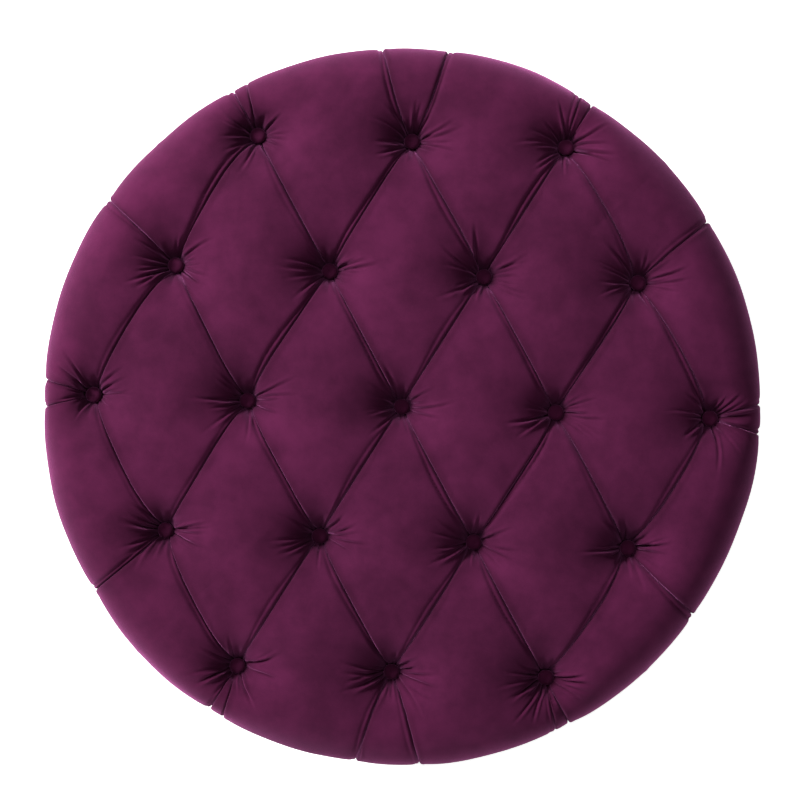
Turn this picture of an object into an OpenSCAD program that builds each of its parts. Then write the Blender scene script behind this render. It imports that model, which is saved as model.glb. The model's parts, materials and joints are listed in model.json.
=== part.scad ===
// Round storage ottoman with a deep-buttoned lid.
// Millimetres, +Z up, front towards -Y, hinge at the rear (+Y).
// The origin is on the floor, under the middle of the ottoman.

/* [Overall] */
// Diameter of the lid, the widest part
overall_d = 900; // [880:10:960]
// Height of the closed ottoman at the middle of its crown
overall_h = 440; // [435:5:450]
// Height of a foot with its glide
foot_h = 38; // [30:1:45]

/* [Lid] */
// Height of the lid's underside above the floor
lid_z = 302; // [300:1:310]
// Rounding of the lid's upper edge
lid_top_round = 52; // [40:1:60]
// Rounding of the lid's lower edge
lid_bottom_round = 18; // [18:1:24]
// How much higher the crown is than the rim
crown_rise = 6; // [2:1:10]
// Thickness of the lid board
board_t = 15; // [12:1:18]
// Thickness of the velvet with its backing
cover_t = 2; // [1.5:0.5:3]
// Thickness of the wadding under the velvet
wadding_t = 8; // [5:1:12]

/* [Tufting] */
// Distance between neighbouring buttons in a row
tuft_pitch_x = 193; // [180:1:195]
// Distance between rows of buttons
tuft_pitch_y = 166; // [155:1:168]
// Depth of a dimple below the crown
tuft_depth = 52; // [40:1:60]
// Diameter of a covered button
button_d = 20; // [18:1:24]
// Height of a covered button
button_h = 8; // [6:0.5:10]

/* [Base] */
// How far the base is set in from the lid's edge
base_inset = 10; // [8:1:14]
// Gap between the base and the underside of the lid board's cover
lid_gap = 5; // [5:0.5:6]
// Thickness of the top and bottom rings
ring_t = 18; // [15:1:21]
// Thickness of the floor of the storage well
floor_t = 9; // [6:1:12]
// Inner radius of the storage well
well_r = 382; // [370:1:384]
// Number of posts between the rings
post_count = 8; // [8]
// Side of a square post
post_w = 33; // [28:1:33]
// Thickness of the foam round the side
side_foam_t = 14; // [10:1:14]
// Thickness of the mat in the storage well
mat_t = 6; // [4:1:10]

/* [Hinges] */
// Length of a hinge along its pin
hinge_len = 60; // [50:1:70]
// Distance from the middle plane to the middle of a hinge
hinge_x = 48; // [45:1:60]
// Outer radius of the knuckles
knuckle_r = 3.2; // [3:0.1:3.4]
// Radius of the hinge pin
pin_r = 1.6; // [1.4:0.1:1.7]
// Thickness of a hinge leaf
leaf_t = 1.5; // [1.2:0.1:1.6]

/* [Feet] */
// Distance from the middle to a foot
foot_orbit = 398; // [396:1:400]
// Largest radius of a foot
foot_r = 31; // [26:1:32]
// Thickness of a glide under a foot
glide_t = 4; // [3:0.5:6]

/* [Hidden] */
$fn = 96;
slack = 0.2;              // gap between nested curved pieces
running = 0.05;           // radial clearance of a pin or a screw in its hole
lid_r = overall_d / 2;
base_r = lid_r - base_inset;
base_bottom = foot_h + 1;
base_top = lid_z - lid_gap;
base_top_round = 10;
base_bottom_round = 6;
rim_z = overall_h - crown_rise;
tuft_rows = [3, 4, 5, 4, 3];    // buttons in each row, from the front to the back

board_z = lid_z + cover_t;
board_r = lid_r - 14;
board_bevel = 5;          // along the board's lower edge, where the cover bends round it
board_hole_r = 3;
cover_turn_r = 400;       // inner radius of the velvet turned under the lid
lining_t = 1.2;
lining_z = lid_z - 2;
lining_r = 414;

dimple_z = overall_h - tuft_depth;
dimple_wall = [[11, 0], [12.5, 9], [17, 22], [24, 35], [33, 46], [42, 55]];
loop_r = 2;
loop_wire_r = 0.6;
loop_z = dimple_z - 2;
strand_r = 0.7;
strand_x = 1.4;
knot_r = 2.2;
anchor_r = 9;
anchor_t = 2.4;

shell_t = 3;
shell_r = base_r - cover_t - side_foam_t - shell_t - 0.7;
ring_outer_r = shell_r - 0.3;
liner_t = 2.5;
top_ring_inner_r = well_r + liner_t + 0.5;
bottom_ring_inner_r = top_ring_inner_r - 35;
bottom_ring_z = base_bottom + cover_t;
floor_z = bottom_ring_z + ring_t;
well_z = floor_z + floor_t;
top_ring_z = base_top - cover_t - ring_t;
top_turn_r = 392;         // inner radius of the velvet turned over the top ring
bottom_turn_r = 408;      // inner radius of the velvet turned under the bottom ring
post_orbit = (top_ring_inner_r + ring_outer_r) / 2;
post_z = floor_z;
post_h = top_ring_z - floor_z;
post_angles = [for (i = [0 : post_count - 1]) (i + 0.5) * 360 / post_count];
floor_screw_orbit = bottom_ring_inner_r + 17;
floor_screw_angles = [for (i = [0 : 7]) i * 45];

pivot_y = base_r;
pivot_z = base_top + lid_gap / 2;
knuckles = 5;
knuckle_gap = 0.3;
leaf_y = 393;
leaf_edge_y = pivot_y - knuckle_r - 0.5;
hinge_screw_y = 402;
hinge_screw_x = 20;

wood_screw_r = 2;
wood_screw_len = 50;
wood_screw_head_r = 4;
small_screw_r = 1.7;
small_screw_head_r = 3.1;
staple_w = 10;
staple_wire = 0.7;
staple_leg = 9;
lid_staple_orbit = 407;
base_staple_orbit = 416;
bumper_orbit = 422.5;
bumper_r = 6;
bumper_angles = [20, 160, 235, 305];
foot_angles = [45, 135, 225, 315];
bolt_r = 4;
bolt_z = 16;
tee_barrel_r = 5.4;
stem_r = 2;
stem_len = 8;

velvet = [0.36, 0.13, 0.27];
velvet_light = [0.46, 0.18, 0.35];
foam_colour = [0.93, 0.88, 0.70];
ply_colour = [0.80, 0.64, 0.44];
pine_colour = [0.86, 0.72, 0.50];
steel_colour = [0.72, 0.72, 0.74];
cloth_colour = [0.16, 0.14, 0.16];
foot_colour = [0.20, 0.11, 0.07];

// Centres of the buttons: rows of a diamond lattice
tufts = [
    for (row = [0 : len(tuft_rows) - 1])
        for (i = [0 : tuft_rows[row] - 1])
            [
                (i - (tuft_rows[row] - 1) / 2) * tuft_pitch_x,
                (row - (len(tuft_rows) - 1) / 2) * tuft_pitch_y,
            ]
];

// ---- Shared shapes ----

// Points of an arc about [cx, cz], from angle a0 to a1
function arc(cx, cz, r, a0, a1, n) = [
    for (i = [0 : n])
        let (a = a0 + (a1 - a0) * i / n)
            [cx + r * cos(a), cz + r * sin(a)]
];

// A tube about the Z axis
module tube(z, h, r_in, r_out) {
    difference() {
        translate([0, 0, z]) cylinder(h = h, r = r_out);
        translate([0, 0, z - 1]) cylinder(h = h + 2, r = r_in);
    }
}

module disc(z, h, r) {
    translate([0, 0, z]) cylinder(h = h, r = r);
}

// Puts its children at every button
module at_tufts() {
    for (p = tufts) translate([p.x, p.y, 0]) children();
}

// Puts its children on a circle, at the given angles
module on_circle(orbit, angles) {
    for (a = angles) rotate([0, 0, a]) translate([orbit, 0, 0]) children();
}

// The lid's outer form, with its whole surface moved in by inset
module lid_form(inset) {
    bottom = lid_bottom_round;
    top = lid_top_round;
    rotate_extrude()
        polygon(concat(
            [[0, lid_z + inset]],
            arc(lid_r - bottom, lid_z + bottom, bottom - inset, -90, 0, 4),
            arc(lid_r - top, rim_z - top, top - inset, 0, 90, 8),
            [[lid_r / 2, overall_h - crown_rise / 4 - inset]],
            [[0, overall_h - inset]]
        ));
}

// One dimple as a cutting form, with its wall moved out by grow
module dimple(grow) {
    translate([0, 0, dimple_z])
        rotate_extrude()
            polygon(concat(
                [[0, -grow], [dimple_wall[0].x + grow, -grow]],
                [for (p = dimple_wall) if (p.y > 0) [p.x + grow, p.y]],
                [[0, dimple_wall[len(dimple_wall) - 1].y]]
            ));
}

// The lid's form with its dimples, moved in by inset
module tufted_form(inset) {
    difference() {
        lid_form(inset);
        at_tufts() dimple(inset);
    }
}

// The base's outer form, with its whole surface moved in by inset
module base_form(inset) {
    top = base_top_round;
    bottom = base_bottom_round;
    rotate_extrude()
        polygon(concat(
            [[0, base_bottom + inset]],
            arc(base_r - bottom, base_bottom + bottom, bottom - inset, -90, 0, 4),
            arc(base_r - top, base_top - top, top - inset, 0, 90, 6),
            [[0, base_top - inset]]
        ));
}

// A countersunk screw pointing up, with its head's face at z = 0
module screw(r, head_r, length) {
    head_h = head_r - r;
    cylinder(h = head_h, r1 = head_r, r2 = r);
    cylinder(h = length, r = r);
}

// A staple with its crown's lower face at z = 0 and its legs pointing up
module staple() {
    rotate([90, 0, 0])
        linear_extrude(height = staple_wire * 2, center = true)
            polygon([
                [-staple_w / 2, 0],
                [staple_w / 2, 0],
                [staple_w / 2, staple_leg],
                [staple_w / 2 - staple_wire, staple_leg],
                [staple_w / 2 - staple_wire, staple_wire],
                [-staple_w / 2 + staple_wire, staple_wire],
                [-staple_w / 2 + staple_wire, staple_leg],
                [-staple_w / 2, staple_leg],
            ]);
}

function hinge_side(side) = side == "left" ? -1 : 1;

// Where the three screws of a leaf stand, along X
hinge_screws_x = [-hinge_screw_x, 0, hinge_screw_x];

// ---- Lid ----

module lid_board() {
    color(ply_colour)
        difference() {
            rotate_extrude()
                polygon([
                    [0, board_z],
                    [board_r - board_bevel, board_z],
                    [board_r, board_z + board_bevel],
                    [board_r, board_z + board_t],
                    [0, board_z + board_t],
                ]);
            at_tufts() disc(board_z - 1, board_t + 2, board_hole_r);
        }
}

module lid_foam() {
    inset = cover_t + wadding_t + 2 * slack;
    color(foam_colour)
        difference() {
            tufted_form(inset);
            disc(lid_z - 1, board_z + board_t + slack - lid_z + 1, lid_r);
            at_tufts() disc(board_z, overall_h, board_hole_r);
        }
}

module lid_wadding() {
    color("white")
        difference() {
            tufted_form(cover_t + slack);
            tufted_form(cover_t + slack + wadding_t);
            disc(lid_z, board_z + board_t + slack - lid_z, board_r + slack);
            at_tufts() disc(board_z, overall_h, board_hole_r);
        }
}

module lid_cover() {
    color(velvet)
        difference() {
            tufted_form(0);
            tufted_form(cover_t);
            disc(lid_z - 1, cover_t + 2, cover_turn_r);
            at_tufts() disc(board_z, overall_h, loop_r + loop_wire_r + 0.5);
        }
}

module lid_lining() {
    notch = hinge_len + 4;
    color(cloth_colour)
        difference() {
            disc(lining_z, lining_t, lining_r);
            for (s = [-1, 1])
                translate([s * hinge_x - notch / 2, leaf_y - 1, lining_z - 1])
                    cube([notch, lining_r, lining_t + 2]);
        }
}

module lid_staples() {
    count = 40;
    color(steel_colour)
        on_circle(lid_staple_orbit, [
            for (i = [0 : count - 1])
                let (a = (i + 0.5) * 360 / count)
                    if (abs(a - 90) > 12) a
        ])
            translate([0, 0, lid_z - staple_wire]) rotate([0, 0, 90]) staple();
}

module tuft_buttons() {
    r = button_d / 2;
    edge = 2;
    plate_r = r - 1.6;
    plate_h = 1.2;
    color(velvet_light)
        at_tufts()
            translate([0, 0, dimple_z])
                difference() {
                    rotate_extrude()
                        polygon([
                            [0, 0],
                            [r - 1, 0],
                            [r, edge],
                            [r - 0.8, edge + 2.2],
                            [r - 2.8, button_h - 1.6],
                            [r - 6, button_h - 0.4],
                            [0, button_h],
                        ]);
                    translate([0, 0, -1]) cylinder(h = plate_h + 1, r = plate_r);
                }
}

module button_loops() {
    plate_r = button_d / 2 - 1.7;
    plate_h = 1.1;
    color(steel_colour)
        at_tufts() {
            disc(dimple_z, plate_h, plate_r);
            translate([0, 0, loop_z])
                rotate([0, 90, 0])
                    rotate_extrude()
                        translate([loop_r, 0]) circle(r = loop_wire_r);
        }
}

module tuft_twines() {
    knot_z = board_z - anchor_t;
    top_z = loop_z - loop_r;
    color("ivory")
        at_tufts() {
            for (s = [-1, 1])
                translate([s * strand_x, 0, knot_z + 1])
                    cylinder(h = top_z - knot_z - 1, r = strand_r);
            translate([0, 0, top_z])
                rotate([90, 0, 0])
                    rotate_extrude(angle = 180)
                        translate([strand_x, 0]) circle(r = strand_r);
            disc(knot_z + slack, anchor_t - slack, knot_r);
        }
}

module twine_anchors() {
    color("dimgray")
        at_tufts()
            tube(board_z - anchor_t, anchor_t, knot_r + running, anchor_r);
}

module hinge_lid_screws() {
    color(steel_colour)
        for (s = [-1, 1], x = hinge_screws_x)
            translate([s * hinge_x + x, hinge_screw_y, lid_z - leaf_t])
                screw(small_screw_r, small_screw_head_r, leaf_t + cover_t + board_t - 4);
}

// ---- Hinges ----

// The knuckles numbered in which, of one hinge centred on x = 0
module knuckle_row(which) {
    pitch = hinge_len / knuckles;
    for (k = which)
        translate([-hinge_len / 2 + k * pitch + knuckle_gap / 2, pivot_y, pivot_z])
            rotate([0, 90, 0])
                cylinder(h = pitch - knuckle_gap, r = knuckle_r);
}

// The plate of a leaf from z to z + leaf_t, with a tongue to each knuckle in which
module leaf_plate(z, which) {
    pitch = hinge_len / knuckles;
    translate([-hinge_len / 2, leaf_y, z])
        cube([hinge_len, leaf_edge_y - leaf_y, leaf_t]);
    for (k = which)
        translate([-hinge_len / 2 + k * pitch + knuckle_gap / 2, leaf_edge_y - 1, z])
            cube([pitch - knuckle_gap, pivot_y - leaf_edge_y + 1, leaf_t]);
}

// One leaf with its knuckles, pin bore and countersunk holes; head_z is the face of the heads
module hinge_leaf(z, which, head_z, flip) {
    difference() {
        union() {
            leaf_plate(z, which);
            knuckle_row(which);
        }
        translate([-hinge_len / 2 - 1, pivot_y, pivot_z])
            rotate([0, 90, 0])
                cylinder(h = hinge_len + 2, r = pin_r + running);
        for (x = hinge_screws_x)
            translate([x, hinge_screw_y, head_z])
                rotate([flip, 0, 0])
                    screw(small_screw_r + running, small_screw_head_r + running, 2 * leaf_t);
    }
}

module hinge_lid_leaf(side) {
    color(steel_colour)
        translate([hinge_side(side) * hinge_x, 0, 0])
            hinge_leaf(lid_z - leaf_t, [1, 3], lid_z - leaf_t, 0);
}

module hinge_base_leaf(side) {
    color(steel_colour)
        translate([hinge_side(side) * hinge_x, 0, 0])
            hinge_leaf(base_top, [0, 2, 4], base_top + leaf_t, 180);
}

// A headed pin: its heads close the barrel at both ends
module hinge_pin(side) {
    head_t = 1;
    color(steel_colour)
        translate([hinge_side(side) * hinge_x, pivot_y, pivot_z])
            rotate([0, 90, 0]) {
                cylinder(h = hinge_len, r = pin_r, center = true);
                for (s = [-1, 1])
                    translate([0, 0, s * (hinge_len + head_t) / 2])
                        cylinder(h = head_t, r = knuckle_r - 0.4, center = true);
            }
}

module hinge_base_screws() {
    color(steel_colour)
        for (s = [-1, 1], x = hinge_screws_x)
            translate([s * hinge_x + x, hinge_screw_y, base_top + leaf_t])
                rotate([180, 0, 0])
                    screw(small_screw_r, small_screw_head_r, leaf_t + cover_t + ring_t - 4);
}

// ---- Base frame ----

module bottom_ring() {
    color(ply_colour)
        difference() {
            tube(bottom_ring_z, ring_t, bottom_ring_inner_r, ring_outer_r);
            on_circle(post_orbit, post_angles)
                disc(bottom_ring_z - 1, ring_t + 2, wood_screw_r + running);
            on_circle(post_orbit, post_angles)
                disc(bottom_ring_z - 1, 1 + wood_screw_head_r - wood_screw_r, wood_screw_head_r);
            on_circle(foot_orbit, foot_angles)
                disc(bottom_ring_z - 1, ring_t + 2, tee_barrel_r + running);
            on_circle(floor_screw_orbit, floor_screw_angles)
                disc(floor_z - 12, 13, small_screw_r + running);
        }
}

module floor_panel() {
    head_h = small_screw_head_r - small_screw_r;
    color(ply_colour)
        difference() {
            disc(floor_z, floor_t, well_r + liner_t);
            on_circle(floor_screw_orbit, floor_screw_angles) {
                disc(floor_z - 1, floor_t + 2, small_screw_r + running);
                disc(well_z - head_h, head_h + 1, small_screw_head_r + running);
            }
        }
}

module floor_screws() {
    color(steel_colour)
        on_circle(floor_screw_orbit, floor_screw_angles)
            translate([0, 0, well_z]) rotate([180, 0, 0])
                screw(small_screw_r, small_screw_head_r, floor_t + 11);
}

module top_ring() {
    color(ply_colour)
        difference() {
            tube(top_ring_z, ring_t, top_ring_inner_r, ring_outer_r);
            on_circle(post_orbit, post_angles) {
                disc(top_ring_z - 1, ring_t + 2, wood_screw_r + running);
                disc(top_ring_z + ring_t - 2, 3, wood_screw_head_r);
            }
        }
}

module frame_post(i) {
    pilot = wood_screw_len - ring_t + 1;
    color(pine_colour)
        rotate([0, 0, post_angles[i - 1]])
            translate([post_orbit, 0, 0])
                difference() {
                    translate([-post_w / 2, -post_w / 2, post_z])
                        cube([post_w, post_w, post_h]);
                    disc(post_z - 1, pilot + 1, wood_screw_r + running);
                    disc(post_z + post_h - pilot, pilot + 1, wood_screw_r + running);
                }
}

module frame_screws() {
    color(steel_colour)
        on_circle(post_orbit, post_angles) {
            translate([0, 0, bottom_ring_z])
                screw(wood_screw_r, wood_screw_head_r - running, wood_screw_len);
            translate([0, 0, top_ring_z + ring_t]) rotate([180, 0, 0])
                screw(wood_screw_r, wood_screw_head_r - running, wood_screw_len);
        }
}

module drum_shell() {
    color([0.48, 0.34, 0.22])
        tube(bottom_ring_z, base_top - cover_t - bottom_ring_z, shell_r, shell_r + shell_t);
}

// ---- Base upholstery ----

module side_foam() {
    color(foam_colour)
        difference() {
            base_form(cover_t + slack);
            disc(base_bottom, base_top, shell_r + shell_t + slack);
        }
}

module side_cover() {
    middle = (base_bottom + base_top) / 2;
    color(velvet)
        difference() {
            base_form(0);
            base_form(cover_t);
            disc(middle, base_top, top_turn_r);
            disc(base_bottom - 1, middle, bottom_turn_r);
        }
}

module storage_liner() {
    lip_t = 1.5;
    lip_r = top_turn_r - 0.5;
    color(cloth_colour)
        rotate_extrude()
            polygon([
                [well_r, well_z + slack],
                [well_r + liner_t, well_z + slack],
                [well_r + liner_t, base_top - cover_t],
                [lip_r, base_top - cover_t],
                [lip_r, base_top - cover_t + lip_t],
                [well_r, base_top - cover_t + lip_t],
            ]);
}

module storage_mat() {
    r = mat_t / 2;
    edge = well_r - 1;
    color(cloth_colour)
        rotate_extrude()
            polygon(concat(
                [[0, well_z + slack]],
                arc(edge - r, well_z + slack + r, r, -90, 90, 6),
                [[0, well_z + slack + mat_t]]
            ));
}

module dust_cover() {
    color("#202020")
        difference() {
            disc(foot_h, base_bottom - foot_h, bottom_turn_r + 20);
            on_circle(foot_orbit, foot_angles)
                disc(foot_h - 1, 3, bolt_r + slack);
        }
}

module base_staples() {
    count = 36;
    color(steel_colour)
        on_circle(base_staple_orbit, [
            for (i = [0 : count - 1])
                let (a = (i + 0.5) * 360 / count)
                    if (abs(a % 90 - 45) > 6) a
        ])
            translate([0, 0, foot_h - staple_wire]) rotate([0, 0, 90]) staple();
}

module lid_bumper(i) {
    h = lid_gap - 0.3;
    color("#303030")
        rotate([0, 0, bumper_angles[i - 1]])
            translate([bumper_orbit, 0, base_top])
                rotate_extrude()
                    polygon(concat(
                        [[0, 0], [bumper_r, 0]],
                        arc(bumper_r - 1.5, h - 1.5, 1.5, 0, 90, 4),
                        [[0, h]]
                    ));
}

// ---- Feet ----

module foot(i) {
    neck_r = foot_r - 6;
    color(foot_colour)
        rotate([0, 0, foot_angles[i - 1]])
            translate([foot_orbit, 0, 0])
                difference() {
                    rotate_extrude()
                        polygon(concat(
                            [[0, glide_t], [foot_r - 10, glide_t]],
                            arc(foot_r - 13, foot_h / 2 - 1, 13, -60, 60, 8),
                            [[neck_r - 1, foot_h - 5], [neck_r + 3, foot_h - 3]],
                            [[neck_r + 3, foot_h], [0, foot_h]]
                        ));
                    disc(bolt_z, foot_h, bolt_r + running);
                    disc(glide_t - 1, stem_len + 1.5, stem_r + running);
                }
}

module foot_glide(i) {
    pad_r = 13;
    color("gray")
        rotate([0, 0, foot_angles[i - 1]])
            translate([foot_orbit, 0, 0]) {
                rotate_extrude()
                    polygon([
                        [0, 0],
                        [pad_r - 1.5, 0],
                        [pad_r, 1.5],
                        [pad_r, glide_t],
                        [0, glide_t],
                    ]);
                disc(glide_t, stem_len, stem_r);
            }
}

module hanger_bolts() {
    color(steel_colour)
        on_circle(foot_orbit, foot_angles)
            disc(bolt_z, floor_z + 3 - bolt_z, bolt_r);
}

module tee_nuts() {
    flange_r = 9.5;
    flange_t = 1.3;
    color(steel_colour)
        on_circle(foot_orbit, foot_angles)
            difference() {
                union() {
                    disc(floor_z - 13, 13, tee_barrel_r);
                    disc(floor_z, flange_t, flange_r);
                }
                disc(floor_z - 14, 20, bolt_r + running);
            }
}

lid_board();
lid_foam();
lid_wadding();
lid_cover();
lid_lining();
lid_staples();
tuft_buttons();
button_loops();
tuft_twines();
twine_anchors();
hinge_lid_screws();
bottom_ring();
floor_panel();
floor_screws();
top_ring();
frame_screws();
drum_shell();
side_foam();
side_cover();
storage_liner();
storage_mat();
dust_cover();
base_staples();
hanger_bolts();
tee_nuts();
hinge_base_screws();
for (i = [1 : post_count])
    frame_post(i);
for (i = [1 : len(foot_angles)]) {
    foot(i);
    foot_glide(i);
}
for (i = [1 : len(bumper_angles)])
    lid_bumper(i);
for (side = ["left", "right"]) {
    hinge_lid_leaf(side);
    hinge_base_leaf(side);
    hinge_pin(side);
}
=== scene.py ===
import json
import math

import bpy
import numpy as np
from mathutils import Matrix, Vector


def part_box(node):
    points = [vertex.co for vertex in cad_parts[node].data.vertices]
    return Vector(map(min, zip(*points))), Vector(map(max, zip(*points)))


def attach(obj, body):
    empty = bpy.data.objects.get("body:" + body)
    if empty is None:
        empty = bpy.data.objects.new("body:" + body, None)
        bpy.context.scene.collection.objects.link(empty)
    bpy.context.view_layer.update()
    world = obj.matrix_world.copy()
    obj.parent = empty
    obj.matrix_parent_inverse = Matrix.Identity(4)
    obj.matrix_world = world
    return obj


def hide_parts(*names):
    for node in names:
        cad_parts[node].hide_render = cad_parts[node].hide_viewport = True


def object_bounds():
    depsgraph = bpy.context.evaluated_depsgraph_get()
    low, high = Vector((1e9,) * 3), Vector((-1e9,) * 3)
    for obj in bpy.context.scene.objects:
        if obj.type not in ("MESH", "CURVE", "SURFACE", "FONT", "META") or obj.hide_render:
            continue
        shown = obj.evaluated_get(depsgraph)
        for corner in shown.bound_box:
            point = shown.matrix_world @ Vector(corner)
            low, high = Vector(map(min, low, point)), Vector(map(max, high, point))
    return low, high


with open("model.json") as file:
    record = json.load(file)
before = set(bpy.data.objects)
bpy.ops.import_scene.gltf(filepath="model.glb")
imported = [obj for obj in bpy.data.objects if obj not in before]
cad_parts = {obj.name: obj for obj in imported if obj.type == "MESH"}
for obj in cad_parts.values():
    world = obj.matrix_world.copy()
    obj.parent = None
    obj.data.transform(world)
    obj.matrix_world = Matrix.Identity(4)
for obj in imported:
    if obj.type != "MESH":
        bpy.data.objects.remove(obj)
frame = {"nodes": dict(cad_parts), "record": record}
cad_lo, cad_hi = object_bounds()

# Lengths in this script are metres, and MM turns millimetres into them.
MM = 0.001
rng = np.random.default_rng(7)


# -------------------------------- sizes, from the frame

def box(node):
    lo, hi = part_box(node)
    return np.array(lo), np.array(hi)


cover_lo, cover_hi = box("lid_cover")
side_lo, side_hi = box("side_cover")
button_lo, button_hi = box("tuft_buttons")

LID_R = cover_hi[0]
LID_BOTTOM = cover_lo[2]
CROWN_RISE = 6 * MM
LID_TOP = cad_hi[2]
RIM_Z = LID_TOP - CROWN_RISE
TOP_ROUND = 52 * MM
BOTTOM_ROUND = 18 * MM
HEM_R = 400 * MM
WELL_R = 382 * MM        # the inside of the storage well
VELVET_THICK = 1.6 * MM

TUFT_ROWS = (3, 4, 5, 4, 3)
BUTTON_R = 10 * MM
SEAT_Z = button_lo[2]
PITCH_X = (button_hi[0] - button_lo[0] - 2 * BUTTON_R) / 4
PITCH_Y = (button_hi[1] - button_lo[1] - 2 * BUTTON_R) / 4


def tuft_centres():
    """Button centres, row by row from the front: rows of a diamond lattice."""
    centres = []
    for row, count in enumerate(TUFT_ROWS):
        for i in range(count):
            x = (i - (count - 1) / 2) * PITCH_X
            y = (row - (len(TUFT_ROWS) - 1) / 2) * PITCH_Y
            centres.append((x, y))
    return np.array(centres)


TUFTS = tuft_centres()


# -------------------------------- mesh helpers

def mesh_object(name, points, faces):
    """A new smooth object from an array of points and an array, or a list, of faces."""
    mesh = bpy.data.meshes.new(name)
    faces = faces.tolist() if isinstance(faces, np.ndarray) else faces
    mesh.from_pydata(np.asarray(points).tolist(), [], faces)
    mesh.polygons.foreach_set("use_smooth", [True] * len(mesh.polygons))
    mesh.update()
    obj = bpy.data.objects.new(name, mesh)
    bpy.context.scene.collection.objects.link(obj)
    return obj


def grid_faces(rows, columns, wrap=False):
    """Quads of a grid of points stored row by row; wrap joins the last column to the first."""
    r = np.arange(rows - 1)[:, None]
    c = np.arange(columns if wrap else columns - 1)[None, :]
    after = (c + 1) % columns
    quads = [r * columns + c, r * columns + after, (r + 1) * columns + after, (r + 1) * columns + c]
    return np.stack([np.broadcast_to(q, (rows - 1, c.shape[1])) for q in quads], -1).reshape(-1, 4)


def loop_faces(rows, columns):
    """Quads of a closed loop of points turned about Z: its last row is joined to its first."""
    return grid_faces(rows + 1, columns, True) % (rows * columns)


def smoothstep(low, high, x):
    t = np.clip((x - low) / (high - low), 0, 1)
    return t * t * (3 - 2 * t)


def arc(cx, cz, r, start, end, count):
    """Points of an arc from one angle to another, in degrees."""
    a = np.radians(np.linspace(start, end, count))
    return np.stack([cx + r * np.cos(a), cz + r * np.sin(a)], 1)


def around(columns):
    """Evenly spaced angles round a full turn."""
    return np.linspace(0, 2 * math.pi, columns, endpoint=False)


def off_angle(phi, where):
    """How far the angles are from where, the short way round."""
    return (phi - where + math.pi) % (2 * math.pi) - math.pi


def turned(profile, columns, out=0):
    """Points of a profile of (radius, height), moved outwards by out and turned about Z."""
    phi = around(columns)
    r, z = profile[:, :1] + out, profile[:, 1:]
    return np.stack([r * np.cos(phi), r * np.sin(phi), z + 0 * phi], -1).reshape(-1, 3)


def ripples(phi, along, waves):
    """Slow waves round Z, one for each (turns, slant, size in mm)."""
    total = 0
    for turns, slant, size in waves:
        total = total + size * MM * np.sin(turns * phi + slant * along + rng.uniform(0, 6))
    return total


def thicken(obj, thickness):
    """Gives a sheet of cloth its thickness, inwards."""
    skin = obj.modifiers.new("cloth_thickness", "SOLIDIFY")
    skin.thickness = thickness
    skin.offset = -1.0


def dress(obj, body, slot, replaces, material=None):
    """Gives a new piece its material, from its record slot unless one is given, puts it in its body
    and hides the CAD nodes it stands for.
    """
    obj.data.materials.append(material or BY_SLOT[slot])
    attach(obj, body)
    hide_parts(*replaces)


# -------------------------------- materials

class Nodes:
    """A material's node tree, with short ways to add and join nodes."""

    def __init__(self, name):
        self.material = bpy.data.materials.new(name)
        self.material.use_nodes = True
        self.tree = self.material.node_tree
        self.shader = self.tree.nodes["Principled BSDF"]
        self.coords = self.tree.nodes.new("ShaderNodeTexCoord").outputs["Object"]

    def add(self, kind, values=None, **settings):
        node = self.tree.nodes.new(kind)
        for key, value in settings.items():
            setattr(node, key, value)
        for key, value in (values or {}).items():
            if isinstance(value, bpy.types.NodeSocket):
                self.tree.links.new(value, node.inputs[key])
            else:
                node.inputs[key].default_value = value
        return node

    def set(self, **values):
        for key, value in values.items():
            socket = self.shader.inputs[key.replace("_", " ")]
            if isinstance(value, bpy.types.NodeSocket):
                self.tree.links.new(value, socket)
            else:
                socket.default_value = value

    def stretched(self, x, y, z):
        return self.add("ShaderNodeMapping", {"Vector": self.coords, "Scale": (x, y, z)}).outputs[0]

    def noise(self, scale, detail=3.0, rough=0.55, vector=None, distortion=0.0):
        values = {"Vector": vector or self.coords, "Scale": scale, "Detail": detail}
        values |= {"Roughness": rough, "Distortion": distortion}
        return self.add("ShaderNodeTexNoise", values).outputs["Fac"]

    def wave(self, scale, direction, distortion=0.0, vector=None):
        values = {"Vector": vector or self.coords, "Scale": scale, "Distortion": distortion}
        wave = self.add("ShaderNodeTexWave", values, wave_type="BANDS", bands_direction=direction)
        return wave.outputs["Fac"]

    def math(self, operation, a, b=0.0, c=0.0):
        return self.add("ShaderNodeMath", {0: a, 1: b, 2: c}, operation=operation).outputs[0]

    def axes(self):
        """The object's own X, Y and Z at each point."""
        return self.add("ShaderNodeSeparateXYZ", {0: self.coords}).outputs[:]

    def ramp(self, factor, stops):
        """A colour ramp from (position, colour) stops."""
        node = self.add("ShaderNodeValToRGB", {"Fac": factor})
        elements = node.color_ramp.elements
        while len(elements) < len(stops):
            elements.new(0.5)
        for element, (position, colour) in zip(elements, stops):
            element.position = position
            element.color = (*colour, 1)
        return node.outputs["Color"]

    def span(self, factor, low, high):
        """Maps 0..1 to low..high."""
        return self.add("ShaderNodeMapRange", {0: factor, 3: low, 4: high}).outputs[0]

    def bump(self, height, distance, strength=1.0, normal=None):
        values = {"Height": height, "Distance": distance, "Strength": strength}
        if normal is not None:
            values["Normal"] = normal
        return self.add("ShaderNodeBump", values).outputs["Normal"]


# This mesh attribute is painted shade, from 0 to 1, in the creases and round the buttons. At 1 the
# velvet's colour is multiplied by the shade tint below.
SHADE_ATTRIBUTE = "fold"
PAINTED_SHADE_TINT = (0.2, 0.12, 0.16, 1)


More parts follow.
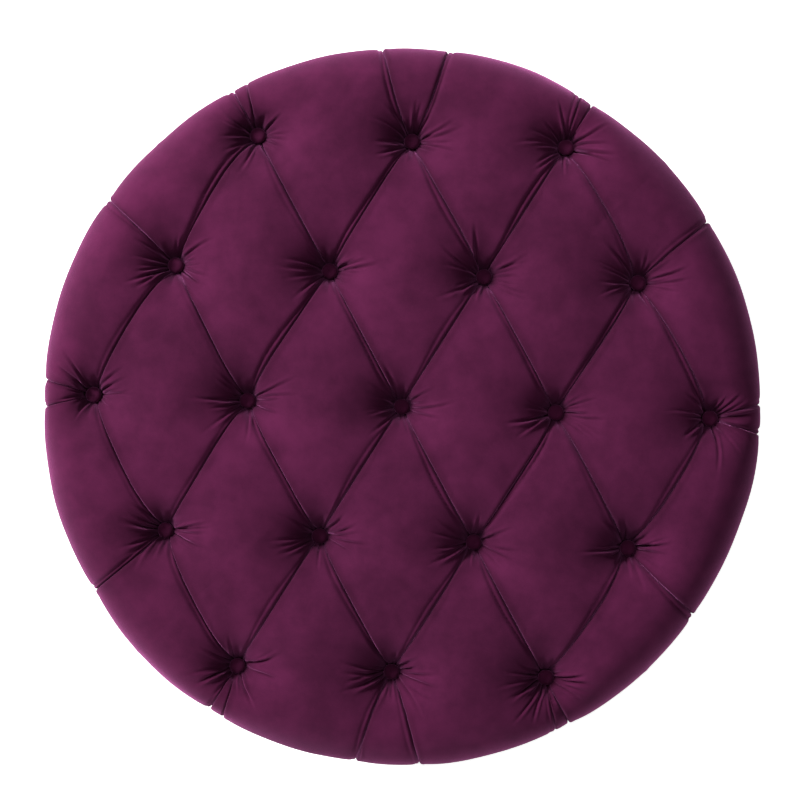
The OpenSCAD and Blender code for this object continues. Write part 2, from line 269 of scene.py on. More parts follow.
def velvet(name, dark, light):
    """Short-pile velvet: darker seen straight on and lighter at its edges, with painted shade in
    its creases and round its buttons.
    """
    n = Nodes(name)
    nap = n.noise(7, 4, 0.6, distortion=0.6)
    crush = n.noise(38, 3, 0.6)
    pile = n.noise(1400, 2, 0.7)
    mix = n.math("ADD", n.math("MULTIPLY", nap, 0.55), n.math("MULTIPLY", crush, 0.45))
    speckle = n.math("ADD", mix, n.math("MULTIPLY", n.math("SUBTRACT", pile, 0.5), 0.35))
    pile_colour = n.ramp(speckle, [(0.36, dark), (0.64, light)])
    # Painted shade: the mesh attribute darkens the pile colour in creases and round the buttons.
    folded = n.add("ShaderNodeAttribute", attribute_name=SHADE_ATTRIBUTE).outputs["Fac"]
    shaded = {0: folded, 1: pile_colour, 2: PAINTED_SHADE_TINT}
    soft = n.bump(crush, 1.2 * MM, 0.25)
    n.set(
        Base_Color=n.add("ShaderNodeMixRGB", shaded, blend_type="MULTIPLY").outputs[0],
        Roughness=n.span(nap, 0.82, 1.0),
        Normal=n.bump(pile, 0.35 * MM, 0.5, soft),
        Specular_IOR_Level=0.06,
        Sheen_Weight=0.5,
        Sheen_Roughness=0.40,
        Sheen_Tint=(1.0, 0.27, 0.72, 1),
    )
    return n.material


def woven(name, dark, light, pitch, sheen=0.2, round_wall=False):
    """Plain-weave cloth with threads at the given pitch, laid flat or round an upright wall."""
    n = Nodes(name)
    across, along = n.axes()[:2]
    if round_wall:
        x, y, along = n.axes()
        across = n.math("MULTIPLY", n.math("ARCTAN2", y, x), WELL_R)
    turn = 2 * math.pi / pitch
    weft = n.math("SINE", n.math("MULTIPLY", across, turn))
    warp = n.math("SINE", n.math("MULTIPLY", along, turn))
    weave = n.math("MULTIPLY_ADD", n.math("MULTIPLY", weft, warp), 0.5, 0.5)
    slub = n.noise(120, 4, 0.6)
    cloud = n.noise(9, 3, 0.5)
    tone = n.math("ADD", n.math("MULTIPLY", weave, 0.35), n.math("MULTIPLY", slub, 0.4))
    tone = n.math("ADD", tone, n.math("MULTIPLY", cloud, 0.25))
    n.set(
        Base_Color=n.ramp(tone, [(0.25, dark), (0.75, light)]),
        Roughness=n.span(slub, 0.8, 0.98),
        Normal=n.bump(weave, 0.4 * MM, 0.5),
        Specular_IOR_Level=0.2,
        Sheen_Weight=sheen,
    )
    return n.material


def wood(name, dark, light, grain, along="X", gloss=(0.55, 0.75), rings=True):
    """Sawn or turned wood with its grain along one axis."""
    n = Nodes(name)
    squeeze = {"X": (0.12, 1, 1), "Y": (1, 0.12, 1), "Z": (1, 1, 0.12)}[along]
    vector = n.stretched(*squeeze)
    figure = n.noise(grain, 5, 0.6, vector, 0.8)
    fibre = n.noise(grain * 14, 3, 0.7, vector)
    tone = n.math("ADD", n.math("MULTIPLY", figure, 0.65), n.math("MULTIPLY", fibre, 0.35))
    if rings:
        lines = n.wave(grain * 0.6, "Y" if along != "Y" else "X", 6, vector)
        tone = n.math("ADD", n.math("MULTIPLY", tone, 0.75), n.math("MULTIPLY", lines, 0.25))
    n.set(
        Base_Color=n.ramp(tone, [(0.3, dark), (0.7, light)]),
        Roughness=n.span(fibre, *gloss),
        Normal=n.bump(fibre, 0.25 * MM, 0.4),
    )
    return n.material


def plywood(name):
    """Birch plywood: figured faces, and thin plies that show on the edges."""
    n = Nodes(name)
    vector = n.stretched(0.15, 1, 1)
    face = n.noise(26, 5, 0.6, vector, 0.7)
    fibre = n.noise(380, 3, 0.7, vector)
    plies = n.wave(18, "Z", 0.3)
    tone = n.math("ADD", n.math("MULTIPLY", face, 0.5), n.math("MULTIPLY", fibre, 0.25))
    tone = n.math("ADD", tone, n.math("MULTIPLY", plies, 0.25))
    n.set(
        Base_Color=n.ramp(tone, [(0.3, (0.42, 0.26, 0.12)), (0.7, (0.70, 0.50, 0.28))]),
        Roughness=n.span(fibre, 0.6, 0.85),
        Normal=n.bump(fibre, 0.2 * MM, 0.4),
    )
    return n.material


def steel(name, base):
    """Zinc-plated steel with fine draw marks."""
    n = Nodes(name)
    marks = n.noise(900, 2, 0.6, n.stretched(0.05, 1, 1))
    cloud = n.noise(60, 3, 0.5)
    n.set(
        Base_Color=n.ramp(cloud, [(0.3, tuple(0.8 * c for c in base)), (0.7, base)]),
        Metallic=1.0,
        Roughness=n.span(marks, 0.28, 0.5),
        Normal=n.bump(marks, 0.05 * MM, 0.4),
    )
    return n.material


def moulded(name, dark, light, rough=(0.45, 0.65)):
    """Moulded plastic or rubber with a fine spark-eroded grain."""
    n = Nodes(name)
    grain = n.noise(1600, 2, 0.6)
    cloud = n.noise(45, 3, 0.5)
    n.set(
        Base_Color=n.ramp(cloud, [(0.3, dark), (0.7, light)]),
        Roughness=n.span(grain, *rough),
        Normal=n.bump(grain, 0.08 * MM, 0.4),
    )
    return n.material


def open_cell(name, dark, light):
    """Foam or wadding: small open cells."""
    n = Nodes(name)
    cells = n.add("ShaderNodeTexVoronoi", {"Vector": n.coords, "Scale": 700.0}).outputs["Distance"]
    cloud = n.noise(30, 4, 0.6)
    n.set(
        Base_Color=n.ramp(cloud, [(0.3, dark), (0.7, light)]),
        Roughness=n.span(cloud, 0.85, 1.0),
        Normal=n.bump(cells, 0.5 * MM, 0.6),
        Sheen_Weight=0.15,
    )
    return n.material


LINING_TONES = (0.030, 0.024, 0.030), (0.085, 0.070, 0.083)
WELL_CLOTH = woven("well_cloth", *LINING_TONES, 3.2 * MM, round_wall=True)

# The material of each of the record's slots.
BY_SLOT = {
    "velvet": velvet("plum_velvet", (0.059, 0.0072, 0.0315), (0.096, 0.0122, 0.051)),
    # button_velvet is the lid's velvet made a little darker, as painted shade for buttons that sit
    # deep in their dimples.
    "button_velvet": velvet("button_velvet", (0.052, 0.0062, 0.027), (0.092, 0.0115, 0.048)),
    "lining_cloth": woven("lining_cloth", *LINING_TONES, 3.2 * MM),
    "mat_cloth": woven("mat_cloth", (0.040, 0.032, 0.039), (0.110, 0.092, 0.108), 3.8 * MM),
    "dust_cloth": woven("dust_cloth", (0.006, 0.006, 0.006), (0.022, 0.022, 0.022), 1.5 * MM, 0.05),
    "twine": woven("tufting_twine", (0.55, 0.48, 0.34), (0.80, 0.74, 0.58), 1.2 * MM),
    "plywood": plywood("birch_plywood"),
    "pine": wood("pine", (0.52, 0.34, 0.16), (0.80, 0.60, 0.34), 30, "Z"),
    "hardboard": wood("hardboard", (0.16, 0.09, 0.045), (0.27, 0.16, 0.085), 120, "Z",
                      (0.7, 0.85), rings=False),
    "foot_wood": wood("walnut_foot", (0.020, 0.009, 0.005), (0.075, 0.034, 0.018), 34, "X",
                      (0.28, 0.42)),
    "hinge_steel": steel("hinge_steel", (0.42, 0.42, 0.44)),
    "fastener_steel": steel("fastener_steel", (0.50, 0.47, 0.40)),
    "anchor_plastic": moulded("anchor_plastic", (0.05, 0.05, 0.05), (0.10, 0.10, 0.10)),
    "glide_plastic": moulded("glide_plastic", (0.10, 0.095, 0.09), (0.17, 0.165, 0.16)),
    "bumper_rubber": moulded("bumper_rubber", (0.012, 0.012, 0.012), (0.03, 0.03, 0.03),
                             (0.6, 0.8)),
    "foam": open_cell("upholstery_foam", (0.70, 0.60, 0.36), (0.86, 0.78, 0.52)),
    "wadding": open_cell("polyester_wadding", (0.78, 0.78, 0.76), (0.92, 0.92, 0.90)),
}


def paint_cad():
    """Gives every carried-over CAD node the material of its record slot."""
    for part in frame["record"]["subparts"]:
        obj = frame["nodes"][part["node"]]
        for s in obj.material_slots:
            s.material = BY_SLOT[part["material_slot"]]


# -------------------------------- the buttoned lid cover
#
# The cover is laid out flat as a disc: a point's distance from the middle is its distance along
# the lid's profile, from the crown over the rim and down to the hem. Buttons, pleats and wrinkles
# are worked out on that disc, and the disc is then wrapped over the lid.

CREST = 5 * MM           # the form is lower by this, to leave room for the inflated puffs


def lid_profile():
    """(radius, height) from the crown's middle to the hem under the board."""
    r = np.linspace(0, LID_R - TOP_ROUND, 90)
    z = LID_TOP - CREST - CROWN_RISE * (r / r[-1]) ** 2
    rim = arc(LID_R - TOP_ROUND, RIM_Z - CREST - TOP_ROUND, TOP_ROUND, 90, 0, 60)
    low = arc(LID_R - BOTTOM_ROUND, LID_BOTTOM + BOTTOM_ROUND, BOTTOM_ROUND, 0, -90, 20)
    under = np.array([[HEM_R, LID_BOTTOM]])
    return np.concatenate([np.stack([r, z], 1), rim[1:], low, under])


PROFILE = lid_profile()
ALONG = np.concatenate([[0], np.cumsum(np.linalg.norm(np.diff(PROFILE, axis=0), axis=1))])
REACH = ALONG[-1]
HEM_START = ALONG[-1] - (LID_R - BOTTOM_ROUND - HEM_R)
WALL_END = HEM_START - BOTTOM_ROUND * math.pi / 2


def wrap(flat):
    """Points and outward normals on the lid's form, for points of the flat disc."""
    rho = np.linalg.norm(flat, axis=1)
    rho_in = np.clip(rho, 0, REACH)
    step = 1.5 * MM
    near, far = np.clip(rho_in - step, 0, REACH), np.clip(rho_in + step, 0, REACH)
    r = np.interp(rho_in, ALONG, PROFILE[:, 0])
    z = np.interp(rho_in, ALONG, PROFILE[:, 1])
    dr = np.interp(far, ALONG, PROFILE[:, 0]) - np.interp(near, ALONG, PROFILE[:, 0])
    dz = np.interp(far, ALONG, PROFILE[:, 1]) - np.interp(near, ALONG, PROFILE[:, 1])
    size = np.hypot(dr, dz)
    unit = flat / np.maximum(rho, 1e-9)[:, None]
    points = np.stack([r * unit[:, 0], r * unit[:, 1], z], 1)
    normals = np.stack([-dz / size * unit[:, 0], -dz / size * unit[:, 1], dr / size], 1)
    return points, normals


def square_to_disc(a, b):
    """Concentric map of the square [-1, 1] x [-1, 1] to the unit disc."""
    wide = np.abs(a) > np.abs(b)
    r = np.where(wide, a, b)
    safe = np.where(r == 0, 1, r)
    phi = np.where(wide, math.pi / 4 * b / safe, math.pi / 2 - math.pi / 4 * a / safe)
    return np.stack([r * np.cos(phi), r * np.sin(phi)], -1)


def disc_to_square(disc):
    """The inverse of square_to_disc."""
    x, y = disc[..., 0], disc[..., 1]
    r = np.hypot(x, y)
    wide = np.abs(x) >= np.abs(y)
    main = np.where(wide, np.copysign(r, x), np.copysign(r, y))
    over = np.where(wide, x, y)
    ratio = np.where(wide, y, x) / np.where(over == 0, 1, over)
    other = main * 4 / math.pi * np.arctan(ratio)
    return np.where(wide, main, other), np.where(wide, other, main)


# The pleats' lips are laid over their creases towards the left rear, but for a small share.
LAID_TOWARDS = np.array([-0.87, 0.49])
LAID_AWAY_SHARE = 0.08


class Pleat:
    """A folded line in the cover, from a button to another button or over the rim to the hem.

    The size and side of its lip, its second groove and its wander are drawn at random.
    """

    def __init__(self, path, rim, strength=1.0):
        self.path = path
        self.rim = rim
        self.strength = strength
        steps = np.linalg.norm(np.diff(path, axis=0), axis=1)
        self.along = np.concatenate([[0], np.cumsum(steps)])
        self.length = self.along[-1]
        self.lo = path.min(0)
        self.hi = path.max(0)
        self.lip = rng.uniform(0.75, 1.25)
        ahead = path[-1] - path[0]
        laid_left = LAID_TOWARDS @ (-ahead[1], ahead[0]) > 0
        chances = (LAID_AWAY_SHARE, 1 - LAID_AWAY_SHARE)
        self.lip_side = (-1 if laid_left else 1) * rng.choice((-1, 1), p=chances)
        self.second = rng.choice((0.45, 1.0))
        self.phase = rng.uniform(0, 2 * math.pi)

    def near(self, flat, reach):
        """Which points lie within reach of the pleat's box."""
        return np.flatnonzero(np.all((flat > self.lo - reach) & (flat < self.hi + reach), axis=1))

    def measure(self, flat):
        """Signed distance to the pleat and distance along it, with the pleat's left-hand normal."""
        best = np.full(len(flat), 1e9)
        side = np.zeros(len(flat))
        along = np.zeros(len(flat))
        normal = np.zeros((len(flat), 2))
        for i in range(len(self.path) - 1):
            start, end = self.path[i], self.path[i + 1]
            d = end - start
            size = np.linalg.norm(d)
            d = d / size
            rel = flat - start
            s = np.clip(rel @ d, 0, size)
            off = rel - s[:, None] * d
            dist = np.linalg.norm(off, axis=1)
            hit = dist < best
            best = np.where(hit, dist, best)
            turn = np.sign(rel[:, 1] * d[0] - rel[:, 0] * d[1])
            side = np.where(hit, turn, side)
            along = np.where(hit, self.along[i] + s, along)
            normal[hit] = (-d[1], d[0])
        return best * side, along, normal


def inner_pleats():
    """Pleats between diagonal neighbours; the outer ones bow outwards a little."""
    pleats = []
    bow = 5 * MM
    stray = 1.5
    close = 1 * MM
    t = np.linspace(0, 1, 7)
    for i, p in enumerate(TUFTS):
        for q in TUFTS[i + 1:]:
            d = q - p
            if abs(abs(d[0]) - PITCH_X / 2) > close or abs(abs(d[1]) - PITCH_Y) > close:
                continue
            middle = (p + q) / 2
            out = middle / max(np.linalg.norm(middle), close)
            outer = smoothstep(0.25, 0.33, np.linalg.norm(middle))
            wander = rng.uniform(-stray, stray) * MM * np.sin(2 * math.pi * t)
            sag = bow * outer * np.sin(math.pi * t) + wander
            pleats.append(Pleat(p + t[:, None] * d + sag[:, None] * out, False))
    return pleats


def rim_pleats():
    """Pleats from the outer buttons over the rim, one for each diagonal that has no neighbour."""
    pleats = []
    diagonals = [np.array([sx * PITCH_X / 2, sy * PITCH_Y]) for sx in (-1, 1) for sy in (-1, 1)]
    for p in TUFTS:
        gaps = [np.linalg.norm(TUFTS - (p + d), axis=1).min() for d in diagonals]
        open_ways = [d for d, gap in zip(diagonals, gaps) if gap > 10 * MM]
        if not open_ways:
            continue
        rho = np.linalg.norm(p)
        phi = math.atan2(p[1], p[0])
        turns = [off_angle(math.atan2(d[1], d[0]), phi) for d in open_ways]
        least = min(abs(t) for t in turns)
        spread = (0.33 if len(turns) > 1 else 0.22) * (LID_R - rho)
        for turn in turns:
            share = min(1.0, abs(turn) / math.radians(25))
            shift = math.copysign(spread * share / LID_R, turn)
            strength = 1.0 if abs(turn) - least < 0.05 else 0.5
            r = np.linspace(rho, REACH, 12)
            bend = phi + shift * (1 - np.exp(-(r - rho) / (60 * MM))) * 1.15
            path = np.stack([r * np.cos(bend), r * np.sin(bend)], 1)
            pleats.append(Pleat(path, True, strength))
    return pleats


PLEATS = inner_pleats() + rim_pleats()
RIM_FADE_START, RIM_FADE_END = 0.36, 0.50

# A button's dimple is a steep cone in a wide bowl, round a flat seat. A pleat lies in a valley
# that is deepest at its buttons.
DIMPLE_FLAT_R = 9.5 * MM
DIMPLE_DEPTH = wrap(TUFTS)[0][:, 2] - SEAT_Z
CONE_SHARE, CONE_R, BOWL_R = 0.66, 10.5 * MM, 37 * MM
VALLEY, VALLEY_AT_BUTTON, VALLEY_FALL = 2.5 * MM, 16 * MM, 26 * MM
VALLEY_R = 11 * MM
VALLEY_ON_RIM, CREASE_ON_RIM = 0.35, 0.75


def end_distance(pleat, along):
    """Distance along a pleat to its nearest button."""
    return along if pleat.rim else np.minimum(along, pleat.length - along)


def above_hem(flat):
    """1 on the top and the rim, falling to 0 as the cover turns under the lid."""
    return 1 - smoothstep(WALL_END - 10 * MM, HEM_START, np.linalg.norm(flat, axis=1))


def rim_fade(flat, least):
    """1 on the top, falling to the least share on the rim and to 0 under the lid."""
    rho = np.linalg.norm(flat, axis=1)
    over_rim = 1 - (1 - least) * smoothstep(RIM_FADE_START, RIM_FADE_END, rho)
    return over_rim * above_hem(flat)


def beyond_button(flat, centre):
    """Distance outwards from the flat seat under a button."""
    return np.maximum(np.linalg.norm(flat - centre, axis=1) - DIMPLE_FLAT_R, 0)


def macro_depth(flat):
    """Depth of dimples and of the pleats' wide valleys below the lid's form."""
    power = 3
    total = np.zeros(len(flat))
    for centre, deep in zip(TUFTS, DIMPLE_DEPTH):
        r = beyond_button(flat, centre)
        cone = CONE_SHARE * np.exp(-r / CONE_R) + (1 - CONE_SHARE) * np.exp(-((r / BOWL_R) ** 2))
        total += (deep * cone) ** power
    for pleat in PLEATS:
        at = pleat.near(flat, 90 * MM)
        t, along, _ = pleat.measure(flat[at])
        end = end_distance(pleat, along)
        deep = (VALLEY + VALLEY_AT_BUTTON * np.exp(-end / VALLEY_FALL)) * pleat.strength
        if pleat.rim:
            deep = deep * rim_fade(flat[at], VALLEY_ON_RIM)
        total[at] += (deep * np.exp(-np.abs(t) / VALLEY_R)) ** power
    return total ** (1 / power)


def macro_surface(flat):
    """The lid's form with its dimples and valleys."""
    points, normals = wrap(flat)
    return points - macro_depth(flat)[:, None] * normals


def inflate(points, quads, weights, frames, pressure):
    """Blows a sheet up as cloth, held where weights are 1, and returns how far each point moved."""
    obj = mesh_object("inflating", points, quads)
    group = obj.vertex_groups.new(name="held")
    for level in np.unique(np.round(weights, 1)):
        group.add(np.flatnonzero(np.round(weights, 1) == level).tolist(), float(level), "REPLACE")
    cloth = obj.modifiers.new("cloth", "CLOTH")
    s = cloth.settings
    s.quality = 6
    s.mass = 0.3
    s.tension_stiffness = s.compression_stiffness = 12
    s.shear_stiffness = 6
    s.bending_stiffness = 0.6
    s.use_pressure = True
    s.uniform_pressure_force = pressure
    s.vertex_group_mass = "held"
    s.pin_stiffness = 1.0
    s.effector_weights.gravity = 0
    cloth.collision_settings.use_collision = False
    cloth.collision_settings.use_self_collision = False
    cloth.point_cache.frame_start = 1
    cloth.point_cache.frame_end = frames
    for f in range(1, frames + 1):
        bpy.context.scene.frame_set(f)
    result = obj.evaluated_get(bpy.context.evaluated_depsgraph_get()).data
    moved = np.empty(len(points) * 3)
    result.vertices.foreach_get("co", moved)
    moved = moved.reshape(-1, 3) - points
    mesh = obj.data
    bpy.data.objects.remove(obj)
    bpy.data.meshes.remove(mesh)
    bpy.context.scene.frame_set(1)
    return moved


def disc_grid(cells):
    """Square coordinates and quads of a disc laid out as a square grid."""
    line = np.linspace(-1, 1, cells + 1)
    b, a = np.meshgrid(line, line, indexing="ij")
    return a.ravel(), b.ravel(), grid_faces(cells + 1, cells + 1)


def sample_grid(values, a, b):
    """Catmull-Rom samples of a grid of vectors at square coordinates a, b."""
    cells = values.shape[0] - 1

    def split(x):
        x = np.clip((x + 1) / 2 * cells, 0, cells - 1e-6)
        i = np.floor(x).astype(int)
        t = x - i
        weights = [
            (-t + 2 * t * t - t ** 3) / 2,
            (2 - 5 * t * t + 3 * t ** 3) / 2,
            (t + 4 * t * t - 3 * t ** 3) / 2,
            (-t * t + t ** 3) / 2,
        ]
        return [np.clip(i + k - 1, 0, cells) for k in range(4)], weights

    columns, wa = split(a)
    rows, wb = split(b)
    out = np.zeros((len(a), values.shape[2]))
    for row, row_weight in zip(rows, wb):
        for column, column_weight in zip(columns, wa):
            out += values[row, column] * (row_weight * column_weight)[:, None]
    return out


def puffed():
    """The cover's own swelling between its buttons and pleats, as a coarse grid of moves."""
    cells = 170
    a, b, quads = disc_grid(cells)
    flat = square_to_disc(a, b) * REACH
    points = macro_surface(flat)
    rho = np.linalg.norm(flat, axis=1)
    held = np.zeros(len(flat))
    for centre in TUFTS:
        r = np.linalg.norm(flat - centre, axis=1)
        held = np.maximum(held, 1 - smoothstep(12 * MM, 20 * MM, r))
    for pleat in PLEATS:
        at = pleat.near(flat, 20 * MM)
        t, _, _ = pleat.measure(flat[at])
        grip = 0.6 * pleat.strength * (1 - smoothstep(4 * MM, 12 * MM, np.abs(t)))
        held[at] = np.maximum(held[at], grip)
    held = np.maximum(held, smoothstep(WALL_END, HEM_START, rho))
    moved = inflate(points, quads, held, frames=14, pressure=75.0)
    _, normals = wrap(flat)
    outward = np.clip((moved * normals).sum(1), -1 * MM, 8 * MM) * (1 - held)
    outward = smoothed(outward.reshape(cells + 1, cells + 1), 3)
    return outward[..., None] * normals.reshape(cells + 1, cells + 1, 3)


def smoothed(grid, times):
    """Averages each grid point with its four neighbours, so many times over."""
    for _ in range(times):
        padded = np.pad(grid, 1, mode="edge")
        beside = padded[:-2, 1:-1] + padded[2:, 1:-1] + padded[1:-1, :-2] + padded[1:-1, 2:]
        grid = grid * 0.4 + beside * 0.15
    return grid


def border(a, b):
    """The points on the edge of a disc grid, in the order of their angle."""
    edge = np.flatnonzero(np.maximum(np.abs(a), np.abs(b)) > 1 - 1e-9)
    return edge[np.argsort(np.arctan2(b[edge], a[edge]), kind="stable")]


def drawn_in(x, least):
    """Share of a distance that is kept: the least in the middle, and all of it from x = 1 on."""
    return 1 - (1 - least) * (1 - np.minimum(x, 1) ** 2) ** 2


def attracted(flat):
    """Draws grid points towards the pleats and the buttons, so that the mesh is finest there."""
    reach, button_reach = 22 * MM, 68 * MM
    least, least_at_button = 0.36, 0.45
    best = np.full(len(flat), reach)
    offsets = np.zeros_like(flat)
    for pleat in PLEATS:
        at = pleat.near(flat, reach)
        t, _, normal = pleat.measure(flat[at])
        nearest = np.abs(t) < best[at]
        at, t, normal = at[nearest], t[nearest], normal[nearest]
        best[at] = np.abs(t)
        offsets[at] = -normal * (t * (1 - drawn_in(np.abs(t) / reach, least)))[:, None]
    moved = flat.copy()
    for centre in TUFTS:
        rel = flat - centre
        x = np.linalg.norm(rel, axis=1) / button_reach
        near = x < 1
        offsets[near] *= smoothstep(0.35, 1.0, x[near])[:, None]
        moved[near] = centre + rel[near] * drawn_in(x[near], least_at_button)[:, None]
    return moved + offsets


def blunt(t):
    """The distance |t| with its point rounded off, so that a crease has no jagged line."""
    rounding = 0.7 * MM
    return np.hypot(t, rounding) - rounding


# A crease is a groove with a low ridge on one side, the lip, which lies over the groove, and a
# second groove on its other side.
GROOVE, GROOVE_AT_BUTTON, GROOVE_FALL = 6.5 * MM, 3.5 * MM, 38 * MM
GROOVE_WIDTHS = (1.0 * MM, 1.3 * MM)     # under the lip, and on its other side
SECOND_GROOVE, SECOND_WIDTH = 2.8 * MM, 1.3 * MM
SECOND_OFF, SECOND_STRAY = 7.5 * MM, 2 * MM
LIP_RISE, LIP_OFF, LIP_HALF_WIDTH = 0.9 * MM, 3.6 * MM, 3.0 * MM
OVERHANG, OVERHANG_OFF = 2.1 * MM, 1.8 * MM
SHADE_WIDTHS = (2.8 * MM, 1.8 * MM)       # how far from a groove the painted shade reaches
FULL_SHADE_DEPTH = 7 * MM                       # a fold as deep as this gets the full painted shade


def crease(flat):
    """Fine folds along the pleats: their depth, the push of their lips and the painted shade in
    their grooves.
    """
    depth = np.zeros(len(flat))
    push = np.zeros((len(flat), 2))
    painted_shade = np.zeros(len(flat))
    for pleat in PLEATS:
        at = pleat.near(flat, 30 * MM)
        t, along, normal = pleat.measure(flat[at])
        t = t * pleat.lip_side
        end = end_distance(pleat, along)
        grow = pleat.strength * (rim_fade(flat[at], CREASE_ON_RIM) if pleat.rim else 1.0)
        wander = 1 + 0.2 * np.sin(along / (17 * MM) + pleat.phase)
        deep = (GROOVE + GROOVE_AT_BUTTON * np.exp(-end / GROOVE_FALL)) * grow * wander
        fade = smoothstep(5 * MM, 18 * MM, end)
        spread = 1 - np.exp(-end / (34 * MM))
        groove = deep * np.exp(-blunt(t) / np.where(t > 0, *GROOVE_WIDTHS))
        off = (t - LIP_OFF * spread) / LIP_HALF_WIDTH
        ridge = LIP_RISE * pleat.lip * grow * spread * np.exp(-(off ** 2))
        apart = (SECOND_OFF + SECOND_STRAY * np.sin(along / (31 * MM) + pleat.phase)) * spread
        second = SECOND_GROOVE * pleat.second * grow * np.exp(-blunt(t + apart) / SECOND_WIDTH)
        depth[at] = np.maximum(depth[at], fade * (groove + second)) - fade * ridge
        share = np.maximum(t, 0) / OVERHANG_OFF
        over = OVERHANG * fade * grow * share * np.exp(1 - share)
        push[at] -= normal * (pleat.lip_side * over)[:, None]
        # Painted shade in and beside each groove, and along the second groove by its depth.
        groove_shade = np.exp(-blunt(t) / np.where(t > 0, *SHADE_WIDTHS)) * (0.7 + 0.3 * pleat.strength)
        painted_shade[at] = np.maximum(painted_shade[at], fade * np.maximum(groove_shade, second / FULL_SHADE_DEPTH))
    return depth, push, painted_shade


def gathers(phi, r):
    """Small even folds where the cloth is drawn in under a button."""
    turns = rng.integers(13, 17)
    folds = np.abs(np.sin((turns * phi + rng.uniform(0, 6) + 1.5 * np.sin(2 * phi)) / 2))
    ring = smoothstep(9.5 * MM, 13 * MM, r) * (1 - smoothstep(16 * MM, 32 * MM, r))
    return 3.0 * MM * ring * (folds - 0.6)


def fanned_crease(phi, r, angle, length, high, bend):
    """A crease that runs out from a button and dies away: a valley with one raised edge."""
    widest = 1.2
    off = off_angle(phi, angle + bend * (r - 12 * MM))
    across = r * np.sin(np.clip(off, -widest, widest))
    fade = smoothstep(9 * MM, 15 * MM, r) * (1 - smoothstep(0.4 * length, length * 1.3, r))
    width = 1.1 * MM + 0.016 * r
    valley = np.exp(-((across / width) ** 2))
    edge = 0.6 * np.exp(-(((across - 1.9 * width) / (1.2 * width)) ** 2))
    return high * fade * (edge - valley) * (np.abs(off) < widest)


def wrinkles(flat):
    """Gathers round each button, and creases that fan out from it to the sides and outwards."""
    outer_r, reach = 0.3, 72 * MM
    height = np.zeros(len(flat))
    for centre in TUFTS:
        out = math.atan2(centre[1], centre[0])
        outer = np.linalg.norm(centre) > outer_r
        fans = ((0, 0.42, 6), (math.pi, 0.42, 6), (out, 0.6, 6 if outer else 2))
        angles = [where + rng.normal(0, spread, count) for where, spread, count in fans]
        angles = np.concatenate(angles + [rng.uniform(-math.pi, math.pi, 5)])
        lengths = rng.uniform(22, 58, len(angles)) * MM
        heights = rng.uniform(1.8, 4.2, len(angles)) * MM
        bends = rng.uniform(-4, 4, len(angles))
        rel = flat - centre
        r = np.linalg.norm(rel, axis=1)
        near = np.flatnonzero(r < reach)
        phi, r = np.arctan2(rel[near, 1], rel[near, 0]), r[near]
        height[near] += gathers(phi, r)
        for crease_values in zip(angles, lengths, heights, bends):
            height[near] += fanned_crease(phi, r, *crease_values)
    return height


def swelling_at(flat, swelling):
    """The inflated cover's moves at points of the disc."""
    if swelling is None:
        return np.zeros((len(flat), 3))
    return sample_grid(swelling, *disc_to_square(flat / REACH))


def painted_shade_at_buttons(flat):
    """Painted shade round the buttons, from 0 to 1, which reaches furthest to the left, where the
    dimples' walls face away from the key light.
    """
    most, reach, more_left = 0.97, 9 * MM, 15 * MM
    painted_shade = np.zeros(len(flat))
    for centre in TUFTS:
        rel = flat - centre
        left = np.clip(-rel[:, 0] / np.maximum(np.linalg.norm(rel, axis=1), 1 * MM), 0, 1)
        fading = np.exp(-beyond_button(flat, centre) / (reach + more_left * left))
        painted_shade = np.maximum(painted_shade, most * fading)
    return painted_shade


def lid_cover(swelling):
    """The velvet, from its hem under the lid on one side to its hem on the other."""
    a, b, quads = disc_grid(720)
    flat = attracted(square_to_disc(a, b) * REACH)
    depth, push, painted_shade = crease(flat)
    gathered = wrinkles(flat)
    over_hem = above_hem(flat)
    lift = (gathered - depth) * over_hem
    still, normals = wrap(flat)
    pushed, _ = wrap(flat + push)
    points = macro_surface(flat) + swelling_at(flat, swelling) + pushed - still
    points += (lift + drape(flat))[:, None] * normals
    obj = mesh_object("lid_cover_velvet", points, quads)
    # Painted shade for the velvet: the grooves' shade, the wrinkles' valleys and the shade round
    # the buttons, kept in the mesh attribute named fold.
    folded = np.maximum(painted_shade, np.clip(-gathered / FULL_SHADE_DEPTH, 0, 1)) * over_hem
    folded = np.maximum(folded, painted_shade_at_buttons(flat))
    attribute = obj.data.attributes.new(SHADE_ATTRIBUTE, "FLOAT", "POINT")
    attribute.data.foreach_set("value", folded.astype(np.float32))
    thicken(obj, VELVET_THICK)
    dress(obj, "lid", "velvet", ["lid_cover"])


def drape(flat):
    """Slow unevenness of the cloth over the rim and down the wall."""
    rho = np.linalg.norm(flat, axis=1)
    phi = np.arctan2(flat[:, 1], flat[:, 0])
    wall = smoothstep(0.42, 0.50, rho) * (1 - smoothstep(WALL_END, HEM_START, rho))
    return wall * ripples(phi, rho, ((5, 9, 0.9), (9, 9, 0.8), (14, 9, 0.5), (31, 9, 0.25)))


def under_cover(flat, inset, swelling):
    """A layer's upper side: the cover's form, lower by inset and by twice that at the buttons."""
    _, normals = wrap(flat)
    apart = np.linalg.norm(flat[:, None] - TUFTS[None], axis=2).min(axis=1)
    inset = inset * (1 + np.exp(-((apart / (24 * MM)) ** 2)))
    return macro_surface(flat) + swelling_at(flat, swelling) - inset[:, None] * normals


PAD_CELLS = 150          # grid cells across the foam, the wadding and the mat


